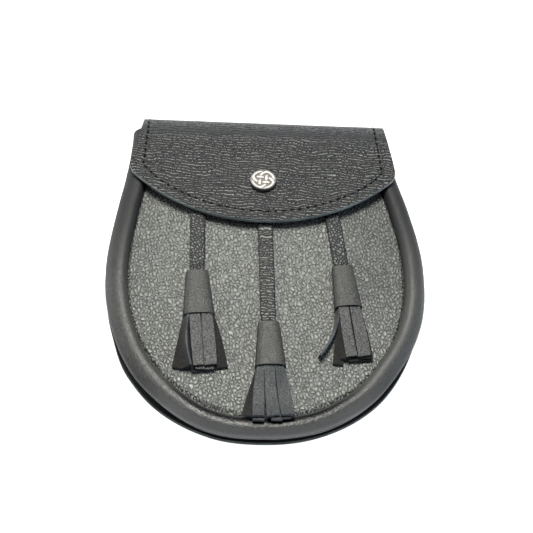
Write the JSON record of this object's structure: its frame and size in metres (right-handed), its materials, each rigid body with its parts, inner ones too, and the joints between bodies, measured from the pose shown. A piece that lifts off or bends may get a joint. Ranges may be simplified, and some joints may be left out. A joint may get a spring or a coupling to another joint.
{
  "type": "sporran pouch",
  "caption": "Flat rounded black leather pouch lying on its back, with a padded edge roll, a pebbled front, a snap-closed flap and hanging leather tassels.",
  "frame": {"origin": "below the middle of the pouch, on the surface it lies on", "axes": "+Y to the pouch's top, where the flap folds, +Z out of its front, X across it"},
  "size_m": [0.18, 0.2168, 0.0209],
  "materials": {
    "black_smooth_leather": "smooth padded black leather, half gloss",
    "black_grained_leather": "grained black leather, half gloss",
    "black_pebbled_leather": "pebbled black leather, half gloss",
    "black_leather_strips": "black leather, suede on the inner side",
    "raw_leather": "raw dark leather edge and flesh side",
    "silver_metal": "nickel-silver colour, antiqued in the recesses"
  },
  "bodies": {
    "root": {"back_panel": "raw_leather", "edge_roll": "black_smooth_leather", "front_panel": "black_pebbled_leather", "flap": "black_grained_leather", "flap_lining": "raw_leather", "snap_button": "silver_metal", "snap_stud": "silver_metal", "strap_left": "black_pebbled_leather", "collar_left": "black_smooth_leather", "fringe_left": "black_leather_strips", "strap_center": "black_pebbled_leather", "collar_center": "black_smooth_leather", "fringe_center": "black_leather_strips", "strap_right": "black_pebbled_leather", "collar_right": "black_smooth_leather", "fringe_right": "black_leather_strips"}
  },
  "joints": []
}
